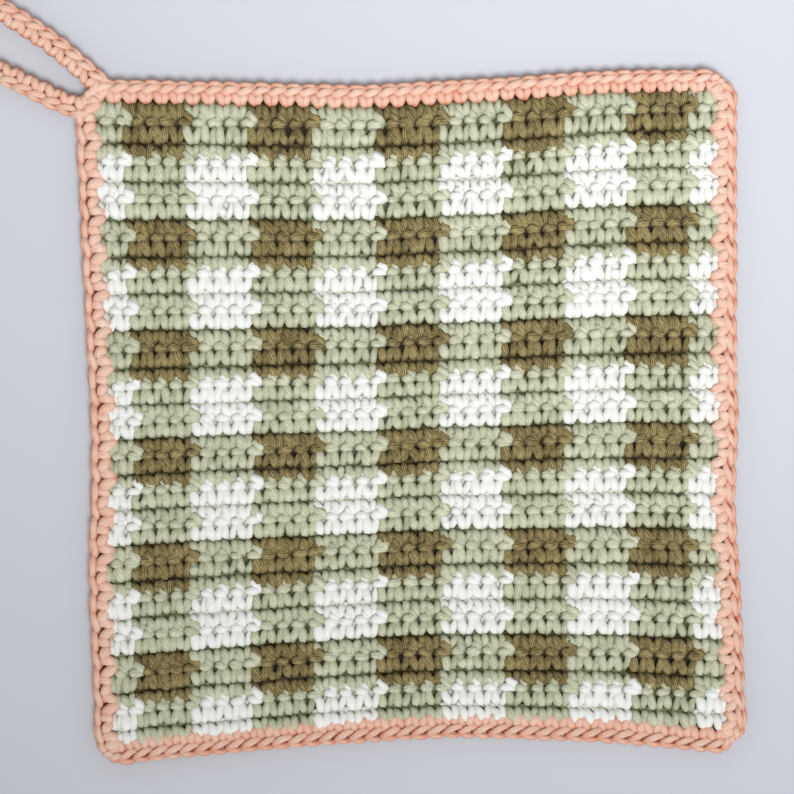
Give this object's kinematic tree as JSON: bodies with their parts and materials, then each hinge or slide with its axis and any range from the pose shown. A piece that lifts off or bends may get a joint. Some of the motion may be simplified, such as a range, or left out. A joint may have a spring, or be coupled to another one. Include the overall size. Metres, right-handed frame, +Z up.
{
  "type": "crocheted pot holder",
  "caption": "Flat square crocheted cotton pot holder with a worked-in gingham check, a contrasting crocheted edging and a hanging loop at its top left corner.",
  "frame": {"origin": "centre of the whole box, loop included, on the plane of the underside that lies on the table", "axes": "+Z up out of the front face, +Y from the bottom row to the top row, +X to the right as the front is seen; the loop reaches out towards -X and +Y"},
  "size_m": [0.2618, 0.2516, 0.0056],
  "materials": {
    "panel_yarn": "matt cotton yarn in white, sage green and olive, single crochet",
    "edging_yarn": "matt cotton yarn in coral, single crochet"
  },
  "bodies": {
    "root": {"crochet_panel": "panel_yarn", "crochet_edging": "edging_yarn", "hanging_loop": "edging_yarn"}
  },
  "joints": []
}
